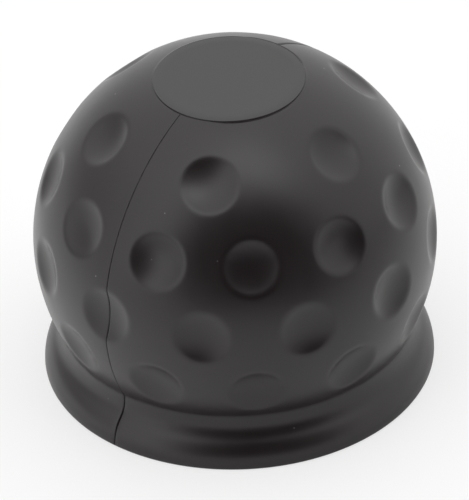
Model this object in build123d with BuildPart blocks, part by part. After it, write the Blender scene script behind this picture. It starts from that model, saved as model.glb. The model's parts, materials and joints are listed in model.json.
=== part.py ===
from build123d import *
import os
from math import acos, asin, cos, degrees, isclose, radians, sin, tan

# Tow ball cover: a soft cap, moulded in one piece, that is pushed over a coupling ball.
# Millimetres and degrees, +Z up. The origin is the centre of the base, where the cap stands.

# The ball, and the dome's wall around it
ball_diameter = 50.0
ball_clearance = 0.4
dome_wall = 5.6

# The flat pad on top of the dome
pad_diameter = 23.1
pad_step = 0.2

# The waist below the dome, set in from the dome's widest circle
waist_undercut = 3.5
waist_height = 2.5
crease_radius = 2.2
cove_radius = 4.0

# The flared skirt, which rolls over to its widest circle just above the base
rim_overhang = 2.8
flare_slope = 48.0
rim_roll_radius = 5.6
base_edge = 0.4

# The retaining lip below the ball's widest circle, and the mouth that leads the ball in
lip_undercut = 2.6
lip_radius = 3.0
mouth_slope = 20.0
mouth_edge = 0.6

# The dimples: round bowls with rolled edges, in rows of (latitude, count) down the dome
dimple_diameter = 8.8
dimple_depth = 1.2
dimple_edge_radius = 2.0
dimple_rows = [(49.2, 6), (25.8, 12), (4.6, 12), (-15.1, 12)]

# Radii that follow from the ball
cavity_radius = ball_diameter / 2 + ball_clearance
dome_radius = cavity_radius + dome_wall
waist_radius = dome_radius - waist_undercut
rim_radius = waist_radius + rim_overhang
throat_radius = cavity_radius - lip_undercut
pad_radius = pad_diameter / 2

# Heights of the skirt and the waist, from the base up to the dome's centre
roll_centre_radius = rim_radius - rim_roll_radius
flare_foot_radius = roll_centre_radius + rim_roll_radius * sin(radians(flare_slope))
flare_foot_height = base_edge + rim_roll_radius * cos(radians(flare_slope))
flare_rise = (flare_foot_radius - waist_radius) * tan(radians(flare_slope))
waist_foot_height = flare_foot_height + flare_rise
crease_height = waist_foot_height + waist_height
crease_latitude = -degrees(acos(waist_radius / dome_radius))
dome_centre_height = crease_height - dome_radius * sin(radians(crease_latitude))

# The pad's level, a step above the dome at the pad's edge
pad_latitude = degrees(acos(pad_radius / dome_radius))
pad_foot_height = dome_centre_height + dome_radius * sin(radians(pad_latitude))
pad_height = pad_foot_height + pad_step

# The lip's section is an arc that touches the cavity's sphere and the mouth's cone
lip_centre_radius = throat_radius + lip_radius
lip_latitude = -degrees(acos(lip_centre_radius / (cavity_radius + lip_radius)))
lip_centre_height = dome_centre_height + (cavity_radius + lip_radius) * sin(radians(lip_latitude))
mouth_head_radius = lip_centre_radius - lip_radius * cos(radians(mouth_slope))
mouth_head_height = lip_centre_height - lip_radius * sin(radians(mouth_slope))
mouth_radius = mouth_head_radius + mouth_head_height * tan(radians(mouth_slope))

# A bowl is part of a sphere that meets the dome in a circle of the dimple's diameter
dimple_radius = dimple_diameter / 2
dimple_half_angle = asin(dimple_radius / dome_radius)
bowl_rise = dimple_depth - dome_radius * (1 - cos(dimple_half_angle))
bowl_radius = (dimple_radius**2 + bowl_rise**2) / (2 * bowl_rise)
bowl_distance = dome_radius - dimple_depth + bowl_radius

with BuildPart() as cover:
    # Half section of the cap, drawn in the mould's parting plane and turned about the axis
    with BuildSketch(Plane.YZ) as section:
        with BuildLine():
            Line((0, pad_height), (pad_radius, pad_height))
            Line((pad_radius, pad_height), (pad_radius, pad_foot_height))
            CenterArc((0, dome_centre_height), dome_radius, pad_latitude, crease_latitude - pad_latitude)
            Line((waist_radius, crease_height), (waist_radius, waist_foot_height))
            Line((waist_radius, waist_foot_height), (flare_foot_radius, flare_foot_height))
            CenterArc((roll_centre_radius, base_edge), rim_roll_radius, 90 - flare_slope, flare_slope - 90)
            Line((rim_radius, base_edge), (rim_radius - base_edge, 0))
            Line((rim_radius - base_edge, 0), (mouth_radius, 0))
            Line((mouth_radius, 0), (mouth_head_radius, mouth_head_height))
            lip_turn = lip_latitude - mouth_slope
            CenterArc((lip_centre_radius, lip_centre_height), lip_radius, 180 + mouth_slope, lip_turn)
            CenterArc((0, dome_centre_height), cavity_radius, lip_latitude, 90 - lip_latitude)
            Line((0, dome_centre_height + cavity_radius), (0, pad_height))
        make_face()
        fillet(section.vertices().sort_by_distance((waist_radius, crease_height))[0], crease_radius)
        fillet(section.vertices().sort_by_distance((waist_radius, waist_foot_height))[0], cove_radius)
        chamfer(section.vertices().sort_by_distance((mouth_radius, 0))[0], mouth_edge)
    revolve(axis=Axis.Z)

    # Rows of bowls sunk into the dome, every other row turned by half a step
    for row, (latitude, count) in enumerate(dimple_rows):
        row_radius = bowl_distance * cos(radians(latitude))
        row_height = dome_centre_height + bowl_distance * sin(radians(latitude))
        half_step = 180 / count
        with Locations((0, 0, row_height)):
            with PolarLocations(row_radius, count, start_angle=row % 2 * half_step):
                Sphere(bowl_radius, mode=Mode.SUBTRACT)

    # The rolled edge of each bowl
    rings = cover.edges().filter_by(GeomType.CIRCLE)
    fillet(rings.filter_by(lambda ring: isclose(ring.radius, dimple_radius, rel_tol=1e-6)), dimple_edge_radius)
cover.part.label = "cover"

os.makedirs("parts", exist_ok=True)
export_step(cover.part, "parts/cover.step")
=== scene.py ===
"""Looks of the tow ball cover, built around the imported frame.

The cap is one soft moulding, so it is one closed surface. A half section is carried round the axis on a
grid of rows and columns, the dimples are pressed into the dome, and the mould's parting line is cut down
both sides. Lengths are in metres, in the frame of the CAD part, and angles in radians unless stated.
"""

import json
import logging
import math
from dataclasses import dataclass, field
from enum import Enum

import bpy
import numpy as np
import numpy.typing as npt
from mathutils import Matrix, Vector


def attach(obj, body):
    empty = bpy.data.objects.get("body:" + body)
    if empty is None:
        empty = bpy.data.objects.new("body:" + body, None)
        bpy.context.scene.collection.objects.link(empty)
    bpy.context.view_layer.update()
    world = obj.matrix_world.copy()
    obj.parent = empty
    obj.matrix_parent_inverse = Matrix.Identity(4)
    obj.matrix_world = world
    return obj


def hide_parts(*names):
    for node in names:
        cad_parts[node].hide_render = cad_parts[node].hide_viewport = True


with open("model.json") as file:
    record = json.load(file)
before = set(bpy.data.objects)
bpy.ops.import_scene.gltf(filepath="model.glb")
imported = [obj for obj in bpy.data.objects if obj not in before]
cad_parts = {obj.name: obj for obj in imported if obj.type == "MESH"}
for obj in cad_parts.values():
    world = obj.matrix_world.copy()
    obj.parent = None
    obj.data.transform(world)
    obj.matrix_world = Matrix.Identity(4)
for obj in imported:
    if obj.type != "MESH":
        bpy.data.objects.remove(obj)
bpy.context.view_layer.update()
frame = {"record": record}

Floats = npt.NDArray[np.float64]
Ints = npt.NDArray[np.int64]
Flags = npt.NDArray[np.bool_]
Point = tuple[float, float]
Socket = bpy.types.NodeSocket
Value = float | Socket

MM = 0.001
LOG = logging.getLogger("tow_ball_cover")

# Lengths below this are raised to it before they divide
TINY = 1e-9

# Angles on a half section, from the outward direction towards the top
OUTWARD = 0.0
UP = math.pi / 2
INWARD = math.pi
DOWN = 1.5 * math.pi

WHITE = (1.0, 1.0, 1.0, 1.0)


class Zone(Enum):
    """Stretches of the half section, in the order in which it is drawn."""

    PAD = 0
    PAD_EDGE = 1
    DOME = 2
    WAIST = 3
    SKIRT = 4
    BASE = 5
    INSIDE = 6


class Skin(Enum):
    """The cap's finishes, by material slot of its mesh."""

    OUTSIDE = 0
    PAD = 1
    INSIDE = 2


def heading(azimuth: float, elevation: float = 0.0) -> Vector:
    """Unit vector at an azimuth, from -Y towards +X, and at an elevation above the floor."""
    level = math.cos(elevation)
    return Vector((math.sin(azimuth) * level, -math.cos(azimuth) * level, math.sin(elevation)))


class Graph:
    """A thin layer over a node tree that makes nodes, sets their inputs and links them."""

    NOISE_ROUGHNESS = 0.55

    def __init__(self, tree: bpy.types.NodeTree) -> None:
        """Wraps a node tree and empties it."""
        self.tree = tree
        tree.nodes.clear()

    def node(self, kind: str, inputs: dict | None = None, **settings: object) -> bpy.types.Node:
        """Makes a node.

        Args:
            kind: the node's type, such as ShaderNodeMath
            inputs: values or sockets by input name or index
            settings: properties of the node itself, which are set before its inputs
        Returns:
            the new node
        """
        made = self.tree.nodes.new(kind)
        for name, value in settings.items():
            setattr(made, name, value)
        for name, value in (inputs or {}).items():
            if isinstance(value, Socket):
                self.tree.links.new(value, made.inputs[name])
            else:
                made.inputs[name].default_value = value
        return made

    def math(self, operation: str, *values: Value) -> Socket:
        """Makes a Math node over numbers or sockets and returns its result."""
        return self.node("ShaderNodeMath", dict(enumerate(values)), operation=operation).outputs[0]

    def mix(self, factor: Socket, first: Value, second: Value) -> Socket:
        """Makes a mix of two numbers, the second of which holds where the factor is one."""
        inputs = {"Factor": factor, "A": first, "B": second}
        return self.node("ShaderNodeMix", inputs).outputs["Result"]

    def ramp(self, value: Value, low: Point, high: Point, smooth: bool = True) -> Socket:
        """Maps a value from one range to another.

        Args:
            value: the number or socket to map
            low: input and output at the lower end
            high: input and output at the upper end
            smooth: whether the ends ease in and out
        Returns:
            the mapped value, held at the outputs beyond the ends
        """
        ends = {"From Min": low[0], "From Max": high[0], "To Min": low[1], "To Max": high[1]}
        kind = "SMOOTHSTEP" if smooth else "LINEAR"
        made = self.node("ShaderNodeMapRange", {"Value": value, **ends}, interpolation_type=kind)
        return made.outputs["Result"]

    def along(self, direction: Socket, axis: Vector) -> Socket:
        """Makes the dot product of a direction or a place with a fixed axis and returns it."""
        inputs = {0: direction, 1: tuple(axis)}
        return self.node("ShaderNodeVectorMath", inputs, operation="DOT_PRODUCT").outputs["Value"]

    def noise(self, coordinates: Socket, size: float, detail: float) -> Socket:
        """Makes fractal noise of a given grain size in metres and returns its value."""
        grain = {"Scale": 1.0 / size, "Detail": detail, "Roughness": self.NOISE_ROUGHNESS}
        return self.node("ShaderNodeTexNoise", {"Vector": coordinates, **grain}).outputs["Fac"]

    def object_place(self) -> Socket:
        """Makes the place in the object's own coordinates and returns it."""
        return self.node("ShaderNodeTexCoord").outputs["Object"]

    def seen_by_camera(self) -> Socket:
        """Makes a factor that is one for the camera and nothing for other rays."""
        return self.node("ShaderNodeLightPath").outputs["Is Camera Ray"]


class NumberGroup:
    """A shader node group whose sockets are all numbers."""

    def __init__(self, name: str, inputs: tuple[str, ...], outputs: tuple[str, ...]) -> None:
        """Starts the group, with the names of its inputs and outputs."""
        self.tree = bpy.data.node_groups.new(name, "ShaderNodeTree")
        for way, labels in (("INPUT", inputs), ("OUTPUT", outputs)):
            for label in labels:
                self.tree.interface.new_socket(name=label, in_out=way, socket_type="NodeSocketFloat")
        self.graph = Graph(self.tree)
        self.given = self.graph.node("NodeGroupInput").outputs
        self.results = self.graph.node("NodeGroupOutput").inputs

    def give(self, output: str, value: Socket) -> None:
        """Links a value to one of the group's outputs."""
        self.tree.links.new(value, self.results[output])


class MouldedGrain(NumberGroup):
    """Node group: the fine grain and slow unevenness that a mould leaves on soft rubber."""

    # Size and detail of each noise
    GRAIN = (0.16 * MM, 1.0)
    PEBBLE = (1.3 * MM, 2.0)
    CLOUD = (11.0 * MM, 3.0)

    # Values of the cloud noise that become nothing and one
    CLOUD_ENDS = (0.34, 0.66)

    def __init__(self) -> None:
        """Builds the group: grain and pebble noise, mixed by the group's inputs, and clouds."""
        super().__init__("moulded_grain", ("Grain", "Pebble"), ("Height", "Cloud"))
        graph = self.graph
        place = graph.object_place()
        grain = graph.math("MULTIPLY", graph.noise(place, *self.GRAIN), self.given["Grain"])
        pebble = graph.math("MULTIPLY", graph.noise(place, *self.PEBBLE), self.given["Pebble"])
        self.give("Height", graph.math("ADD", grain, pebble))
        low, high = self.CLOUD_ENDS
        self.give("Cloud", graph.ramp(graph.noise(place, *self.CLOUD), (low, 0.0), (high, 1.0)))


class DustSpecks(NumberGroup):
    """Node group: sparse pale specks of dust and lint on the surface."""

    # Share of a speck's radius within which it is at full strength
    CORE = 0.4

    def __init__(self) -> None:
        """Builds the group: a speck is a small ball round each point of a loose scatter in space."""
        super().__init__("dust_specks", ("Spacing", "Radius"), ("Mask",))
        graph = self.graph
        scale = graph.math("DIVIDE", 1.0, self.given["Spacing"])
        scatter = {"Vector": graph.object_place(), "Scale": scale}
        cells = graph.node("ShaderNodeTexVoronoi", scatter, feature="F1")
        reach = graph.math("MULTIPLY", self.given["Radius"], scale)
        share = graph.math("DIVIDE", cells.outputs["Distance"], reach)
        self.give("Mask", graph.ramp(share, (self.CORE, 1.0), (1.0, 0.0)))


@dataclass(frozen=True)
class RubberFinish:
    """One finish of the soft black rubber.

    Attributes:
        name: the material's name
        dark, light: the range of the base colour, linear grey, over the slow clouds of the surface
        satin, dull: the range of the roughness over the same clouds
        grain, pebble: shares of the fine grain and the pebbling in the bump's height
        relief: height of the bump
        tint: red, green and blue shares of the base colour
        index: refractive index of the rubber's skin
        groove_shade_tone, seam_roughness: share of the base colour that is left in the parting line, which
            is painted shade in its groove, and the least roughness there
        dust: base colour of a dust speck
        dust_spacing, dust_radius: distance between specks and their size
    """

    name: str
    dark: float
    light: float
    satin: float
    dull: float
    grain: float
    pebble: float
    relief: float
    tint: tuple[float, float, float] = (1.26, 0.90, 0.98)
    index: float = 1.55
    groove_shade_tone: float = 0.25
    seam_roughness: float = 0.85
    dust: float = 0.16
    dust_spacing: float = 4.7 * MM
    dust_radius: float = 0.15 * MM

    def material(self, grain_group: MouldedGrain, dust_group: DustSpecks) -> bpy.types.Material:
        """Makes the material.

        Args:
            grain_group: the shared group of moulded grain
            dust_group: the shared group of dust specks
        Returns:
            the material, with colour, roughness and relief that change over the surface
        """
        material = bpy.data.materials.new(self.name)
        material.use_nodes = True
        graph = Graph(material.node_tree)
        shares = {"Grain": self.grain, "Pebble": self.pebble}
        surface = graph.node("ShaderNodeGroup", shares, node_tree=grain_group.tree)
        scatter = {"Spacing": self.dust_spacing, "Radius": self.dust_radius}
        specks = graph.node("ShaderNodeGroup", scatter, node_tree=dust_group.tree)
        cloud = surface.outputs["Cloud"]
        seam = graph.node("ShaderNodeAttribute", attribute_name=PartingLine.ATTRIBUTE).outputs["Fac"]

        tone = graph.ramp(cloud, (0.0, self.dark), (1.0, self.light), smooth=False)
        # Painted shade: the base colour is darkened along the parting line, standing in for the shade in
        # its cut groove
        left = graph.ramp(seam, (0.0, 1.0), (1.0, self.groove_shade_tone), smooth=False)
        tone = graph.math("MULTIPLY", tone, left)
        speck = graph.math("MULTIPLY", specks.outputs["Mask"], self.dust)
        red, green, blue = (graph.math("MULTIPLY_ADD", tone, share, speck) for share in self.tint)
        colour = graph.node("ShaderNodeCombineColor", {"Red": red, "Green": green, "Blue": blue})

        rough = graph.ramp(cloud, (0.0, self.satin), (1.0, self.dull), smooth=False)
        rough = graph.math("MAXIMUM", rough, graph.math("MULTIPLY", seam, self.seam_roughness))
        bump = graph.node("ShaderNodeBump", {"Height": surface.outputs["Height"], "Distance": self.relief})
        shader = graph.node("ShaderNodeBsdfPrincipled", {
            "Base Color": colour.outputs[0],
            "Roughness": rough,
            "IOR": self.index,
            "Normal": bump.outputs["Normal"],
        })
        graph.node("ShaderNodeOutputMaterial", {"Surface": shader.outputs[0]})
        return material


FINISHES: dict[Skin, RubberFinish] = {
    Skin.OUTSIDE: RubberFinish(
        name="satin_rubber", dark=0.0095, light=0.0115, satin=0.32, dull=0.36,
        grain=0.5, pebble=0.5, relief=0.006 * MM,
    ),
    Skin.PAD: RubberFinish(
        name="pad_rubber", dark=0.0225, light=0.0245, satin=0.36, dull=0.40,
        grain=0.8, pebble=0.2, relief=0.005 * MM, tint=(1.0, 1.0, 1.0),
    ),
    Skin.INSIDE: RubberFinish(
        name="cavity_rubber", dark=0.011, light=0.015, satin=0.50, dull=0.60,
        grain=0.8, pebble=0.6, relief=0.012 * MM,
    ),
}


@dataclass
class HalfSection:
    """A half section drawn run by run, as radii, heights and the zone of each point."""

    radii: list[Floats] = field(default_factory=list)
    heights: list[Floats] = field(default_factory=list)
    zones: list[Ints] = field(default_factory=list)

    def start(self, point: Point, zone: Zone) -> None:
        """Sets the first point."""
        self.add(np.array([point[0]]), np.array([point[1]]), zone)

    def add(self, radii: Floats, heights: Floats, zone: Zone) -> None:
        """Adds points that all belong to one zone."""
        self.radii.append(radii)
        self.heights.append(heights)
        self.zones.append(np.full(len(radii), zone.value))

    def line(self, end: Point, steps: int, zone: Zone) -> None:
        """Draws a straight run to a point: the last point plus equal shares of the way.

        Args:
            end: radius and height of the last point
            steps: number of points along the run
            zone: zone of these points
        """
        share = np.arange(1, steps + 1) / steps
        first = (self.radii[-1][-1], self.heights[-1][-1])
        self.add(first[0] + share * (end[0] - first[0]), first[1] + share * (end[1] - first[1]), zone)

    def arc(self, centre: Point, radius: float, turn: Point, steps: int, zone: Zone) -> None:
        """Draws an arc: the centre plus the radius along each angle, without the first angle.

        Args:
            centre: radius and height of the arc's centre
            radius: the arc's radius
            turn: first and last angle, from the outward direction towards the top
            steps: number of points along the arc
            zone: zone of these points
        """
        angle = turn[0] + np.arange(1, steps + 1) / steps * (turn[1] - turn[0])
        self.add(centre[0] + radius * np.cos(angle), centre[1] + radius * np.sin(angle), zone)


class Grid:
    """The cap's surface points by row and column, with each row's place on the half section.

    Attributes:
        radii, heights, zones: of each row, on the half section
        longitude: longitudes by row and column
        points: surface points by row and column
    """

    def __init__(self, radii: Floats, heights: Floats, zones: Ints, longitude: Floats) -> None:
        """Carries the half section round the axis at each column's longitude."""
        self.radii = radii
        self.heights = heights
        self.zones = zones
        self.longitude = longitude
        self.points = self.carried_round(radii, heights)

    def carried_round(self, outwards: Floats, upwards: Floats) -> Floats:
        """Carries vectors in the half section, one per row, round the axis.

        The outward part is shared out by cosine and sine of the longitude, and the upward part stays.
        """
        across = outwards[:, None] * np.cos(self.longitude)
        along = outwards[:, None] * np.sin(self.longitude)
        return np.stack([across, along, np.broadcast_to(upwards[:, None], across.shape)], axis=2)

    def rows_in(self, *zones: Zone) -> Flags:
        """Tells which rows lie in any of the zones."""
        return np.isin(self.zones, [zone.value for zone in zones])

    def normals(self) -> Floats:
        """Unit vectors square to the half section's run, out of the undimpled surface."""
        run_out = np.gradient(self.radii)
        run_up = np.gradient(self.heights)
        length = np.maximum(np.hypot(run_out, run_up), TINY)
        return self.carried_round(-run_up / length, run_out / length)


@dataclass(frozen=True)
class PartingLine:
    """The fine line where the halves of the mould met, in the plane X = 0.

    Attributes:
        half_width: distance from the plane at which a line of strength one has faded to a third
        depth: depth of a line of strength one
        skirt_gain: strength of the line, in width and depth, on the waist and the skirt
        front_gains: the same on the dome's front, as pairs of height and strength
        back_gain: the same on the dome's back
        uneven: share of the line's strength that comes and goes where it is weak
        beats: the two lengths over which it does so
        steady_gain: strength from which on it does not
        offsets: distances from the plane of the grid's columns beside the line
    """

    half_width: float = 0.045 * MM
    depth: float = 0.10 * MM
    skirt_gain: float = 2.2
    front_gains: tuple[Point, ...] = (
        (9.0 * MM, 1.2), (20.0 * MM, 1.7), (27.0 * MM, 1.9),
        (36.0 * MM, 1.0), (45.0 * MM, 1.0), (50.0 * MM, 1.5),
    )
    back_gain: float = 3.6
    uneven: float = 0.5
    beats: Point = (7.9 * MM, 1.5 * MM)
    steady_gain: float = 2.0
    offsets: tuple[float, ...] = (0.035 * MM, 0.075 * MM, 0.13 * MM, 0.22 * MM)

    ATTRIBUTE = "parting_line"

    def gain(self, grid: Grid) -> Floats:
        """Strength of the line at each point: none off the outside, and by height on the dome's front."""
        on_back = grid.points[:, :, 1] > 0.0
        front = np.interp(grid.heights, *np.transpose(self.front_gains))
        dome = np.where(on_back, self.back_gain, front[:, None])
        below = np.where(grid.rows_in(Zone.WAIST, Zone.SKIRT), self.skirt_gain, 0.0)
        return np.where(grid.rows_in(Zone.DOME)[:, None], dome, below[:, None])

    def share(self, grid: Grid, gain: Floats) -> Floats:
        """Share of the full depth, e to the minus square of distance over half width.

        The weaker the line, the more it comes and goes with the product of two sines of the height.

        Args:
            grid: the surface points
            gain: strength of the line at each point
        Returns:
            at most one in the middle of the line, falling to nothing beside it
        """
        distance = np.abs(grid.points[:, :, 0])
        width = self.half_width * np.maximum(gain, 1.0)
        bell = np.where(gain > 0.0, np.exp(-((distance / width) ** 2)), 0.0)
        waves = [np.sin(2.0 * math.pi * grid.heights / length) for length in self.beats]
        beat = 0.5 + 0.5 * np.prod(waves, axis=0)
        return bell * (1.0 - self.uneven * beat[:, None] * np.clip(self.steady_gain - gain, 0.0, 1.0))

    def cut(self, grid: Grid) -> Floats:
        """Cuts the line into the surface along its normals, and returns its share of the full depth."""
        gain = self.gain(grid)
        share = self.share(grid, gain)
        grid.points -= grid.normals() * (share * gain * self.depth)[:, :, None]
        return share


@dataclass(frozen=True)
class DimplePattern:
    """Round bowls with rolled edges, in rows down the dome.

    Attributes:
        diameter: a bowl's width at the dome's surface
        edge_radius: radius of the rolled edge
        rows: latitude in degrees, count, and depth of each row; every other row is turned by half a step
        reach: angle from a dimple's axis within which the grid is drawn to its edge
        crowd, spread: how many more grid points stand at the edge, and over what angle they thin out
        knots: number of angles at which that density is summed up
    """

    diameter: float = 8.8 * MM
    edge_radius: float = 2.1 * MM
    rows: tuple[tuple[float, int, float], ...] = (
        (49.2, 6, 1.15 * MM),
        (25.8, 12, 1.15 * MM),
        (4.6, 12, 1.15 * MM),
        (-15.1, 12, 1.0 * MM),
    )
    reach: float = math.radians(11.3)
    crowd: float = 1.5
    spread: float = math.radians(2.0)
    knots: int = 400

    def axes(self) -> Floats:
        """Unit vectors from the dome's centre through each dimple."""
        found = []
        for row, (latitude, count, _) in enumerate(self.rows):
            turn = (np.arange(count) + row % 2 / 2) * 2 * math.pi / count
            height = math.sin(math.radians(latitude))
            radius = math.cos(math.radians(latitude))
            ring = [radius * np.cos(turn), radius * np.sin(turn), np.full(count, height)]
            found.append(np.stack(ring, axis=1))
        return np.concatenate(found)

    def depths(self) -> Floats:
        """Depth of each dimple, in the order of the axes."""
        return np.concatenate([np.full(count, depth) for _, count, depth in self.rows])

    def distance(self, angle: Floats, depth: Floats, dome: float) -> Floats:
        """Distance of the surface from the dome's centre, by angle from a dimple's axis.

        Three arcs follow each other outwards. The bowl is a sphere whose centre lies outside the dome, so
        the nearer crossing counts. The rolled edge is a circle inside the wall that touches the bowl and
        the dome, so the farther crossing counts. Beyond it is the dome itself.

        Args:
            angle: angle of each point from the nearest axis
            depth: depth of the dimple round that axis
            dome: the dome's radius
        Returns:
            the distance of each point
        """
        half = self.diameter / 2
        rise = depth - dome + math.sqrt(dome**2 - half**2)
        bowl = (half**2 + rise**2) / (2 * rise)
        away = dome - depth + bowl
        from_dome = dome - self.edge_radius
        from_bowl = bowl + self.edge_radius
        roll_height = (from_dome**2 + away**2 - from_bowl**2) / (2 * away)
        roll_offset = np.sqrt(from_dome**2 - roll_height**2)
        share = bowl / from_bowl
        bowl_end = np.arctan2(roll_offset * share, away + (roll_height - away) * share)
        roll_end = np.arctan2(roll_offset, roll_height)
        in_bowl = np.minimum(angle, bowl_end)
        to_bowl = away * np.cos(in_bowl) - np.sqrt(bowl**2 - (away * np.sin(in_bowl))**2)
        in_roll = np.clip(angle, bowl_end, roll_end)
        along = roll_offset * np.sin(in_roll) + roll_height * np.cos(in_roll)
        short = self.edge_radius**2 - roll_offset**2 - roll_height**2
        to_roll = along + np.sqrt(np.maximum(along**2 + short, 0.0))
        return np.where(angle < bowl_end, to_bowl, np.where(angle < roll_end, to_roll, dome))

    def gathered(self, angle: Floats, dome: float) -> Floats:
        """Angle to which a grid point is drawn, so that points crowd on the rolled edge.

        The wanted density is one plus a bell round the edge's angle. Its running sum, scaled to end at the
        reach, is the old angle as a function of the new one, and is read backwards.

        Args:
            angle: angle of each point from the nearest axis
            dome: the dome's radius
        Returns:
            the new angles, unchanged beyond the reach
        """
        edge = math.asin(self.diameter / 2 / dome)
        knots = np.linspace(0.0, self.reach, self.knots)
        density = 1.0 + self.crowd * np.exp(-(((knots - edge) / self.spread) ** 2))
        total = np.concatenate([[0.0], np.cumsum((density[1:] + density[:-1]) / 2)])
        return np.where(angle < self.reach, np.interp(angle, total * self.reach / total[-1], knots), angle)

    def press(self, directions: Floats, dome: float) -> Floats:
        """Presses the dimples into directions from the dome's centre.

        Each direction turns towards or away from the nearest axis, by the gathered angle, and is then as
        long as the surface is distant there.

        Args:
            directions: unit vectors, one per row of the array
            dome: the dome's radius
        Returns:
            the surface points, seen from the dome's centre
        """
        axes = self.axes()
        towards = directions @ axes.T
        closest = np.argmax(towards, axis=1)
        nearest = axes[closest]
        cosine = np.clip(np.max(towards, axis=1), -1.0, 1.0)
        aside = directions - nearest * cosine[:, None]
        aside /= np.maximum(np.linalg.norm(aside, axis=1), TINY)[:, None]
        turned = self.gathered(np.arccos(cosine), dome)
        moved = nearest * np.cos(turned)[:, None] + aside * np.sin(turned)[:, None]
        return moved * self.distance(turned, self.depths()[closest], dome)[:, None]


@dataclass(frozen=True)
class SectionRows:
    """Number of grid rows on each run of the half section."""

    pad: int = 8
    pad_shoulder: int = 3
    pad_wall: int = 2
    moat: int = 1
    dome: int = 115
    crease: int = 6
    waist: int = 3
    cove: int = 8
    flare: int = 2
    roll: int = 14
    base_edge: int = 5
    base: int = 2
    mouth_edge: int = 5
    mouth: int = 5
    lip: int = 12
    cavity: int = 20


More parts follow.
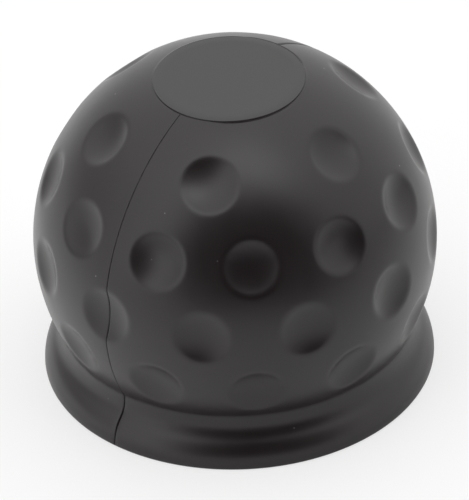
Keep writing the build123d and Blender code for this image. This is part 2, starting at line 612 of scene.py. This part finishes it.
@dataclass(frozen=True)
class Cap:
    """The whole cap: dimpled dome, pad, waist and skirt, with the ball's cavity inside.

    Attributes:
        ball_height, cavity_radius, pad_height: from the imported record's mounts
        dome_wall: thickness of the wall round the cavity
        inset: how far the dome keeps inside the CAD part's, so as to stay in its box
        pad_diameter, pad_step, pad_round: the pad's width, its step above the dome, and its edge's radius
        pad_gap, pad_gap_depth: the fine moat round the pad, at its deepest
        moat_runs: the stretches over which the moat shows, by longitude, half angle and share of its depth
        pad_shift: how far the pad sits off the axis, across the parting plane
        pad_tilt, pad_fall: slope of the pad, and the longitude of the side it falls to
        waist_undercut: how far the waist is set in from the dome's widest circle
        crease_radius, cove_radius: radii of the crease above the waist and of the cove below it
        rim_overhang: how far the rim stands out from the waist
        flare_slope: slope of the flare between cove and rim
        rim_roll, base_edge: radii of the roll above the rim and of the edge below it
        lip_undercut, lip_radius: how far the lip reaches in from the cavity, and its radius
        mouth_slope, mouth_edge: slope of the mouth, from upright, and radius of its lower edge
        columns: number of regular grid columns round the axis
        rows: number of grid rows along the half section
        dimples, parting: what is pressed and cut into the surface
    """

    ball_height: float
    cavity_radius: float
    pad_height: float
    dome_wall: float = 5.6 * MM
    inset: float = 0.006 * MM
    pad_diameter: float = 23.1 * MM
    pad_step: float = 0.2 * MM
    pad_round: float = 0.07 * MM
    pad_gap: float = 0.07 * MM
    pad_gap_depth: float = 0.14 * MM
    moat_runs: tuple[tuple[float, float, float], ...] = (
        (math.radians(-26.0), math.radians(38.0), 0.45),
        (math.radians(86.0), math.radians(26.0), 1.0),
        (math.radians(-100.0), math.radians(24.0), 0.3),
    )
    pad_shift: float = 0.05 * MM
    pad_tilt: float = math.radians(0.55)
    pad_fall: float = math.radians(138.0)
    waist_undercut: float = 3.5 * MM
    crease_radius: float = 2.2 * MM
    cove_radius: float = 4.0 * MM
    rim_overhang: float = 2.8 * MM
    flare_slope: float = math.radians(48.0)
    rim_roll: float = 5.6 * MM
    base_edge: float = 0.4 * MM
    lip_undercut: float = 2.6 * MM
    lip_radius: float = 3.0 * MM
    mouth_slope: float = math.radians(20.0)
    mouth_edge: float = 0.6 * MM
    columns: int = 432
    rows: SectionRows = SectionRows()
    dimples: DimplePattern = DimplePattern()
    parting: PartingLine = PartingLine()

    NAME = "cap"

    # How far below the dome's radius a row still counts as lying on the dome
    ON_DOME = 1e-7

    @classmethod
    def from_record(cls, record: dict) -> "Cap":
        """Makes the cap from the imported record's mounts."""
        mounts = {mount["name"]: mount for mount in record["mounts"]}
        socket = mounts["ball_socket"]
        return cls(
            ball_height=socket["pos_m"][2],
            cavity_radius=socket["dims"]["r_mm"] * MM,
            pad_height=mounts["top_pad"]["pos_m"][2],
        )

    @property
    def centre(self) -> Point:
        """The dome's and the cavity's centre on the half section."""
        return 0.0, self.ball_height

    @property
    def dome(self) -> float:
        """The dome's radius, a hair inside the CAD part's."""
        return self.cavity_radius + self.dome_wall - self.inset

    @property
    def pad_radius(self) -> float:
        """The pad's radius."""
        return self.pad_diameter / 2

    @property
    def pad_foot(self) -> float:
        """Height at which the pad's wall meets the dome."""
        return self.pad_height - self.pad_step

    def draw_pad(self, section: HalfSection) -> None:
        """Draws the pad and the moat round it, from the pad's centre to the dome."""
        inner = self.pad_radius - self.pad_round
        bottom = self.pad_foot - self.pad_gap_depth
        bank = self.pad_radius + self.pad_gap
        bank_height = self.ball_height + self.dome * math.sin(math.acos(bank / self.dome))
        shoulder = (inner, self.pad_height - self.pad_round)
        section.start((0.0, self.pad_height), Zone.PAD)
        section.line((inner, self.pad_height), self.rows.pad, Zone.PAD)
        section.arc(shoulder, self.pad_round, (UP, OUTWARD), self.rows.pad_shoulder, Zone.PAD_EDGE)
        section.line((self.pad_radius, bottom), self.rows.pad_wall, Zone.PAD_EDGE)
        section.line((self.pad_radius + self.pad_gap / 2, bottom), self.rows.moat, Zone.DOME)
        section.line((bank, bank_height), self.rows.moat, Zone.DOME)

    def draw_outside(self, section: HalfSection) -> None:
        """Draws dome, waist and skirt, from the pad's moat to the base.

        The crease is an arc that touches the dome from outside and the waist's wall, so its centre lies on
        a circle one crease radius beyond the dome. The cove touches the wall and the flare.

        Args:
            section: the half section to draw on
        """
        rows = self.rows
        slope = self.flare_slope
        waist = self.dome - self.waist_undercut
        rim = waist + self.rim_overhang

        bank_latitude = math.acos((self.pad_radius + self.pad_gap) / self.dome)
        crease_offset = waist + self.crease_radius
        crease_circle = self.dome + self.crease_radius
        crease_latitude = -math.acos(crease_offset / crease_circle)
        crease = (crease_offset, self.ball_height + crease_circle * math.sin(crease_latitude))
        section.arc(self.centre, self.dome, (bank_latitude, crease_latitude), rows.dome, Zone.DOME)
        section.arc(crease, self.crease_radius, (INWARD + crease_latitude, INWARD), rows.crease, Zone.WAIST)

        roll = (rim - self.rim_roll, self.base_edge)
        flare_foot = (roll[0] + self.rim_roll * math.sin(slope), roll[1] + self.rim_roll * math.cos(slope))
        waist_foot = flare_foot[1] + (flare_foot[0] - waist) * math.tan(slope)
        cove_height = waist_foot + self.cove_radius * (1.0 - math.sin(slope)) / math.cos(slope)
        cove = (waist + self.cove_radius, cove_height)
        section.line((waist, cove_height), rows.waist, Zone.WAIST)
        section.arc(cove, self.cove_radius, (INWARD, DOWN - slope), rows.cove, Zone.WAIST)
        section.line(flare_foot, rows.flare, Zone.SKIRT)
        section.arc(roll, self.rim_roll, (UP - slope, OUTWARD), rows.roll, Zone.SKIRT)
        edge = (rim - self.base_edge, self.base_edge)
        section.arc(edge, self.base_edge, (OUTWARD, -UP), rows.base_edge, Zone.BASE)

    def draw_inside(self, section: HalfSection) -> None:
        """Draws base, mouth, lip and cavity, from the base's outer edge to the cavity's crown.

        The lip is an arc that touches the cavity's sphere from inside the wall and the mouth's cone. The
        mouth's lower edge is rounded by an arc that touches the cone and the base.

        Args:
            section: the half section to draw on
        """
        rows = self.rows
        slope = self.mouth_slope
        lip_offset = self.cavity_radius - self.lip_undercut + self.lip_radius
        lip_circle = self.cavity_radius + self.lip_radius
        lip_latitude = -math.acos(lip_offset / lip_circle)
        lip_height = self.ball_height + lip_circle * math.sin(lip_latitude)
        lip = (lip_offset, lip_height)
        head_radius = lip_offset - self.lip_radius * math.cos(slope)
        head_height = lip_height - self.lip_radius * math.sin(slope)
        mouth = head_radius + head_height * math.tan(slope)
        edge_offset = mouth + self.mouth_edge * (1.0 + math.sin(slope)) / math.cos(slope)
        edge = (edge_offset, self.mouth_edge)
        section.line((edge_offset, 0.0), rows.base, Zone.BASE)
        section.arc(edge, self.mouth_edge, (DOWN, INWARD + slope), rows.mouth_edge, Zone.INSIDE)
        section.line((head_radius, head_height), rows.mouth, Zone.INSIDE)
        section.arc(lip, self.lip_radius, (INWARD + slope, INWARD + lip_latitude), rows.lip, Zone.INSIDE)
        section.arc(self.centre, self.cavity_radius, (lip_latitude, UP), rows.cavity, Zone.INSIDE)

    def longitudes(self, radii: Floats) -> Floats:
        """Longitudes of the grid's columns, row by row.

        Regular columns stand one step apart. At the parting plane they give way to a fan of columns at set
        distances from the plane, whose longitude is distance over the row's radius.

        Args:
            radii: radius of each row
        Returns:
            an array of rows by columns
        """
        beside = np.array(self.parting.offsets)
        fan = np.concatenate([-beside[::-1], [0.0], beside])
        fans = fan[None, :] / np.maximum(radii, self.pad_radius)[:, None]
        # The regular column in the plane and its neighbours on both sides are left out
        regular = np.arange(self.columns // 2)[2:-1] * 2.0 * math.pi / self.columns
        regulars = np.broadcast_to(regular, (len(radii), len(regular)))
        front = -math.pi / 2
        back = math.pi / 2
        return np.concatenate([fans + front, regulars + front, fans + back, regulars + back], axis=1)

    def on_dome(self, grid: Grid) -> Flags:
        """Tells which rows lie on the dome's sphere, not in the moat."""
        from_centre = np.hypot(grid.radii, grid.heights - self.ball_height)
        return grid.rows_in(Zone.DOME) & (from_centre > self.dome - self.ON_DOME)

    def press_dimples(self, grid: Grid) -> None:
        """Presses the dimples into the rows on the dome."""
        rows = self.on_dome(grid)
        centre = np.array([0.0, 0.0, self.ball_height])
        before = grid.points[rows] - centre
        after = self.dimples.press(before.reshape(-1, 3) / self.dome, self.dome)
        grid.points[rows] = after.reshape(before.shape) + centre

    def moat_share(self, longitude: Floats) -> Floats:
        """Share of the moat's depth by longitude.

        Each run gives e to the minus fourth power of the angle from its middle over its half angle, times
        its share. The largest counts.
        """
        bells = []
        for middle, half, share in self.moat_runs:
            away = np.arctan2(np.sin(longitude - middle), np.cos(longitude - middle))
            bells.append(share * np.exp(-((away / half) ** 4)))
        return np.max(bells, axis=0)

    def seat_pad(self, grid: Grid) -> None:
        """Lets the moat come and go round the pad, tilts the pad and shifts it to -X.

        The moat's depth below the pad's foot is scaled by its share. The pad sinks by its distance from the
        high side, measured downhill, times the slope.

        Args:
            grid: the surface points, which are moved
        """
        foot = self.pad_foot
        near = grid.rows_in(Zone.PAD_EDGE, Zone.DOME) & ~self.on_dome(grid)
        moat = near & (grid.heights < foot)
        below = (grid.heights[moat] - foot)[:, None]
        grid.points[moat, :, 2] = foot + below * self.moat_share(grid.longitude[moat])

        pad = grid.rows_in(Zone.PAD, Zone.PAD_EDGE)
        fall = np.array([math.cos(self.pad_fall), math.sin(self.pad_fall)])
        downhill = grid.points[pad, :, :2] @ fall
        grid.points[pad, :, 2] -= (self.pad_radius + downhill) * math.tan(self.pad_tilt)
        grid.points[pad, :, 0] -= self.pad_shift

    def surface(self) -> tuple[Grid, Floats]:
        """Works out the grid of surface points, and the parting line's share of its depth at them."""
        section = HalfSection()
        self.draw_pad(section)
        self.draw_outside(section)
        self.draw_inside(section)
        radii = np.concatenate(section.radii)
        heights = np.concatenate(section.heights)
        grid = Grid(radii, heights, np.concatenate(section.zones), self.longitudes(radii))
        self.press_dimples(grid)
        self.seat_pad(grid)
        return grid, self.parting.cut(grid)

    @staticmethod
    def faces(rings: int, columns: int) -> tuple[Ints, Ints]:
        """Works out the faces over rings of points that two single points close.

        Between rings, each square joins a point with its neighbours one ring down and one column on. At the
        two ends, triangles join the ring with the single point, whose number follows those of all rings.

        Args:
            rings: number of rings
            columns: number of points on each ring
        Returns:
            the squares and the triangles, as numbers of their corners
        """
        here = np.arange(columns)
        onward = np.roll(here, -1)
        ring = np.arange(rings - 1)[:, None] * columns
        below = ring + columns
        squares = np.stack([ring + here, below + here, below + onward, ring + onward], axis=2)
        last = (rings - 1) * columns
        top = np.full(columns, rings * columns)
        lids = np.concatenate([
            np.stack([top, here, onward], axis=1),
            np.stack([last + here, top + 1, last + onward], axis=1),
        ])
        return squares.reshape(-1, 4), lids

    @staticmethod
    def skins(zones: Ints, columns: int) -> Ints:
        """Finish of each face, by the zone of the lower row for squares, and then for the two lids."""
        by_zone = np.full(len(Zone), Skin.OUTSIDE.value)
        by_zone[Zone.PAD.value] = Skin.PAD.value
        by_zone[Zone.INSIDE.value] = Skin.INSIDE.value
        lids = [Skin.PAD.value, Skin.INSIDE.value]
        return np.repeat(np.concatenate([by_zone[zones[2:-1]], lids]), columns)

    def build(self) -> bpy.types.Object:
        """Builds the cap's object from the grid, whose first and last row are single points on the axis."""
        grid, line = self.surface()
        rows, columns = line.shape
        points = grid.points
        vertices = np.concatenate([points[1:-1].reshape(-1, 3), points[0, :1], points[-1, :1]])
        squares, lids = self.faces(rows - 2, columns)
        corners = np.concatenate([squares.ravel(), lids.ravel()])
        sides = np.repeat([squares.shape[1], lids.shape[1]], [len(squares), len(lids)])
        strength = np.concatenate([line[1:-1].ravel(), [0.0, 0.0]])

        mesh = bpy.data.meshes.new(self.NAME)
        mesh.vertices.add(len(vertices))
        mesh.vertices.foreach_set("co", vertices.astype(np.float32).ravel())
        mesh.loops.add(len(corners))
        mesh.loops.foreach_set("vertex_index", corners.astype(np.int32))
        mesh.polygons.add(len(sides))
        mesh.polygons.foreach_set("loop_start", (np.cumsum(sides) - sides).astype(np.int32))
        mesh.polygons.foreach_set("material_index", self.skins(grid.zones, columns).astype(np.int32))
        mesh.polygons.foreach_set("use_smooth", np.ones(len(sides), dtype=bool))
        attribute = mesh.attributes.new(PartingLine.ATTRIBUTE, "FLOAT", "POINT")
        attribute.data.foreach_set("value", strength.astype(np.float32))
        mesh.update(calc_edges=True)
        mesh.validate()
        cap = bpy.data.objects.new(self.NAME, mesh)
        bpy.context.scene.collection.objects.link(cap)
        triangles = int(np.sum(sides - 2))
        LOG.info("%s: %d rows by %d columns, %d triangles", self.NAME, rows, columns, triangles)
        return cap

    def dress(self, cap: bpy.types.Object) -> None:
        """Gives the cap its finishes and its place in the frame."""
        grain = MouldedGrain()
        dust = DustSpecks()
        for skin in Skin:
            cap.data.materials.append(FINISHES[skin].material(grain, dust))
        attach(cap, "root")
        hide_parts("cover")


@dataclass(frozen=True)
class Oval:
    """A soft oval on the light tent, brighter or darker than what is round it; angles in degrees.

    Attributes:
        azimuth, elevation: direction of its middle
        width, height: half angles at which it has faded to half
        core: share of the half angles within which it keeps its full strength
        gain: what it adds to the tent's brightness at full strength
    """

    azimuth: float
    elevation: float
    width: float
    height: float
    core: float
    gain: float = 0.0

    def mask(self, graph: Graph, direction: Socket) -> Socket:
        """Makes the oval's strength over all directions.

        The direction is measured from the oval's middle, sideways and upwards, each as a share of the half
        angle. The root of the sum of their squares is one where the oval has faded to half.

        Args:
            graph: the world's graph
            direction: the direction looked in
        Returns:
            one in the core, falling to nothing as far outside the half angles as the core is inside them
        """
        azimuth = math.radians(self.azimuth)
        ahead = heading(azimuth, math.radians(self.elevation))
        aside = heading(azimuth + math.pi / 2)
        parts = [graph.along(direction, axis) for axis in (ahead, aside, ahead.cross(aside))]
        sideways = graph.math("DIVIDE", graph.math("ARCTAN2", parts[1], parts[0]), math.radians(self.width))
        upwards = graph.math("DIVIDE", graph.math("ARCSINE", parts[2]), math.radians(self.height))
        squares = [graph.math("MULTIPLY", share, share) for share in (sideways, upwards)]
        away = graph.math("SQRT", graph.math("ADD", *squares))
        return graph.ramp(away, (self.core, 1.0), (2.0 - self.core, 0.0))


@dataclass(frozen=True)
class PaintedFloorLight:
    """Painted light: a soft round patch of emission that adds to the floor's brightness, standing in for
    lamp light falling there.

    Attributes:
        middle: its place on the floor
        gain: what it adds there
        inner, outer: distances from the middle between which it fades
    """

    middle: Point
    gain: float
    inner: float
    outer: float

    def brightness(self, graph: Graph, place: Socket) -> Socket:
        """Makes what the patch adds at each place of the floor and returns it."""
        ends = {0: place, 1: (*self.middle, 0.0)}
        away = graph.node("ShaderNodeVectorMath", ends, operation="DISTANCE").outputs["Value"]
        return graph.ramp(away, (self.inner, self.gain), (self.outer, 0.0))


@dataclass(frozen=True)
class Tent:
    """White light tent with a dark opening on the camera's side, and a white floor.

    Attributes:
        level, rise: brightness of the tent's walls at floor level, and what they gain up to the top
        lamps: brighter and darker places on the walls
        opening, opening_level: the opening and its brightness
        floor_size: side of the floor
        floor_colour: linear grey of the floor in light and reflections
        sheet_azimuth, sheet_end: direction in degrees in which the white floor gives way to the dark room,
            and the distances between which it does so
        room_painted_shade: linear grey of the floor out there, painted shade of the unlit room
        painted_floor_lights: patches of painted light on the floor, emission seen in light and reflections
        shown_colour, floor_lift: for the camera alone, the part of the floor's white that takes shadow and
            the part that does not
    """

    level: float = 0.95
    rise: float = 0.33
    lamps: tuple[Oval, ...] = (
        Oval(azimuth=65.0, elevation=58.0, width=17.5, height=23.5, core=0.35, gain=1.4),
        Oval(azimuth=20.0, elevation=55.0, width=25.0, height=25.0, core=0.15, gain=0.40),
        Oval(azimuth=0.0, elevation=-9.0, width=25.0, height=50.0, core=0.15, gain=0.52),
        Oval(azimuth=-74.0, elevation=2.5, width=28.0, height=25.5, core=0.15, gain=-0.5),
        Oval(azimuth=122.0, elevation=22.0, width=27.0, height=15.0, core=0.15, gain=-0.17),
    )
    opening: Oval = Oval(azimuth=49.0, elevation=18.0, width=45.0, height=44.5, core=0.77)
    opening_level: float = 0.0
    floor_size: float = 4.0
    floor_colour: float = 0.88
    sheet_azimuth: float = 70.0
    sheet_end: Point = (0.0, 0.45)
    room_painted_shade: float = 0.03
    painted_floor_lights: tuple[PaintedFloorLight, ...] = (
        PaintedFloorLight(middle=(-0.045, -0.050), gain=0.27, inner=0.020, outer=0.085),
        PaintedFloorLight(middle=(0.020, 0.067), gain=0.17, inner=0.020, outer=0.085),
        PaintedFloorLight(middle=(-0.260, 0.150), gain=0.25, inner=0.040, outer=0.240),
    )
    shown_colour: float = 0.36
    floor_lift: float = 0.62

    def build_world(self) -> None:
        """Builds the world: the tent for light and reflections, plain white for the camera."""
        world = bpy.data.worlds.new("tent")
        bpy.context.scene.world = world
        world.use_nodes = True
        graph = Graph(world.node_tree)
        direction = graph.node("ShaderNodeTexCoord").outputs["Generated"]
        height = graph.math("MAXIMUM", graph.along(direction, Vector((0.0, 0.0, 1.0))), 0.0)
        walls = graph.math("MULTIPLY_ADD", height, self.rise, self.level)
        for lamp in self.lamps:
            walls = graph.math("MULTIPLY_ADD", lamp.mask(graph, direction), lamp.gain, walls)
        strength = graph.mix(self.opening.mask(graph, direction), walls, self.opening_level)
        tent = graph.node("ShaderNodeBackground", {"Color": WHITE, "Strength": strength})
        white = graph.node("ShaderNodeBackground", {"Color": WHITE, "Strength": 1.0})
        choice = {0: graph.seen_by_camera(), 1: tent.outputs[0], 2: white.outputs[0]}
        mixed = graph.node("ShaderNodeMixShader", choice)
        graph.node("ShaderNodeOutputWorld", {"Surface": mixed.outputs[0]})

    def floor_material(self) -> bpy.types.Material:
        """Makes the floor's material: matt white that takes shadow, and light that does not."""
        material = bpy.data.materials.new("white_floor")
        material.use_nodes = True
        graph = Graph(material.node_tree)
        seen = graph.seen_by_camera()
        place = graph.object_place()
        outward = graph.along(place, heading(math.radians(self.sheet_azimuth)))
        near, far = self.sheet_end
        # Painted shade: for other rays than the camera's, the floor darkens from white to the room's grey
        # away from the tent, standing in for the unlit room
        sheet = graph.ramp(outward, (near, self.floor_colour), (far, self.room_painted_shade))
        matt = graph.node("ShaderNodeBsdfDiffuse", {"Color": graph.mix(seen, sheet, self.shown_colour)})
        # Painted light: patches of emission on the floor, for other rays than the camera's, stand in for
        # lamp light falling there
        painted_light_sum: Value = 0.0
        for patch in self.painted_floor_lights:
            painted_light_sum = graph.math("ADD", patch.brightness(graph, place), painted_light_sum)
        lift = graph.node("ShaderNodeEmission", {"Strength": graph.mix(seen, painted_light_sum, self.floor_lift)})
        both = graph.node("ShaderNodeAddShader", {0: matt.outputs[0], 1: lift.outputs[0]})
        graph.node("ShaderNodeOutputMaterial", {"Surface": both.outputs[0]})
        return material

    def build_floor(self) -> None:
        """Builds the white floor under the cap, which keeps the cap's shadow."""
        half = self.floor_size / 2
        corners = [(-half, -half, 0.0), (half, -half, 0.0), (half, half, 0.0), (-half, half, 0.0)]
        mesh = bpy.data.meshes.new("floor")
        mesh.from_pydata(corners, [], [(0, 1, 2, 3)])
        mesh.materials.append(self.floor_material())
        floor = bpy.data.objects.new("floor", mesh)
        bpy.context.scene.collection.objects.link(floor)


@dataclass(frozen=True)
class PhotoView:
    """The photograph's view of the cap.

    Attributes:
        image: the picture's width and height in pixels
        azimuth, elevation, roll: the camera's direction and its turn about it
        distance: distance of the camera from the dome's centre
        focal_px: focal length in pixels
        dome_px: where the dome's centre lies in the picture, from its top left corner
        sensor: width in millimetres of the film that the longer side of the picture takes
    """

    image: tuple[int, int] = (469, 500)
    azimuth: float = math.radians(40.4)
    elevation: float = math.radians(35.75)
    roll: float = math.radians(-2.2)
    distance: float = 0.93
    focal_px: float = 6056.0
    dome_px: Point = (235.1, 233.9)
    sensor: float = 36.0

    def build(self, target: Vector) -> None:
        """Builds the camera.

        It looks past the target by that point's offset from the middle of the picture, so the lens needs
        no shift.

        Args:
            target: the dome's centre
        """
        back = heading(self.azimuth, self.elevation)
        level = heading(self.azimuth + math.pi / 2)
        upright = back.cross(level)
        right = math.cos(self.roll) * level + math.sin(self.roll) * upright
        above = -math.sin(self.roll) * level + math.cos(self.roll) * upright
        size = self.distance / self.focal_px
        across = (self.image[0] / 2 - self.dome_px[0]) * size
        down = (self.image[1] / 2 - self.dome_px[1]) * size
        place = target + back * self.distance + right * across - above * down
        turn = Matrix((right, above, back)).transposed().to_4x4()
        data = bpy.data.cameras.new("photo_view")
        data.sensor_width = self.sensor
        data.lens = self.focal_px * self.sensor / max(self.image)
        camera = bpy.data.objects.new("photo_view", data)
        camera.matrix_world = Matrix.Translation(place) @ turn
        bpy.context.scene.collection.objects.link(camera)
        bpy.context.scene.camera = camera


def main() -> None:
    """Builds the cap, its surroundings and the camera."""
    logging.basicConfig(level=logging.INFO, format="%(name)s: %(message)s")
    bpy.context.scene.view_settings.view_transform = "Standard"
    cap = Cap.from_record(frame["record"])
    cap.dress(cap.build())
    tent = Tent()
    tent.build_world()
    tent.build_floor()
    PhotoView().build(Vector((0.0, 0.0, cap.ball_height)))


if __name__ == "__main__":
    main()
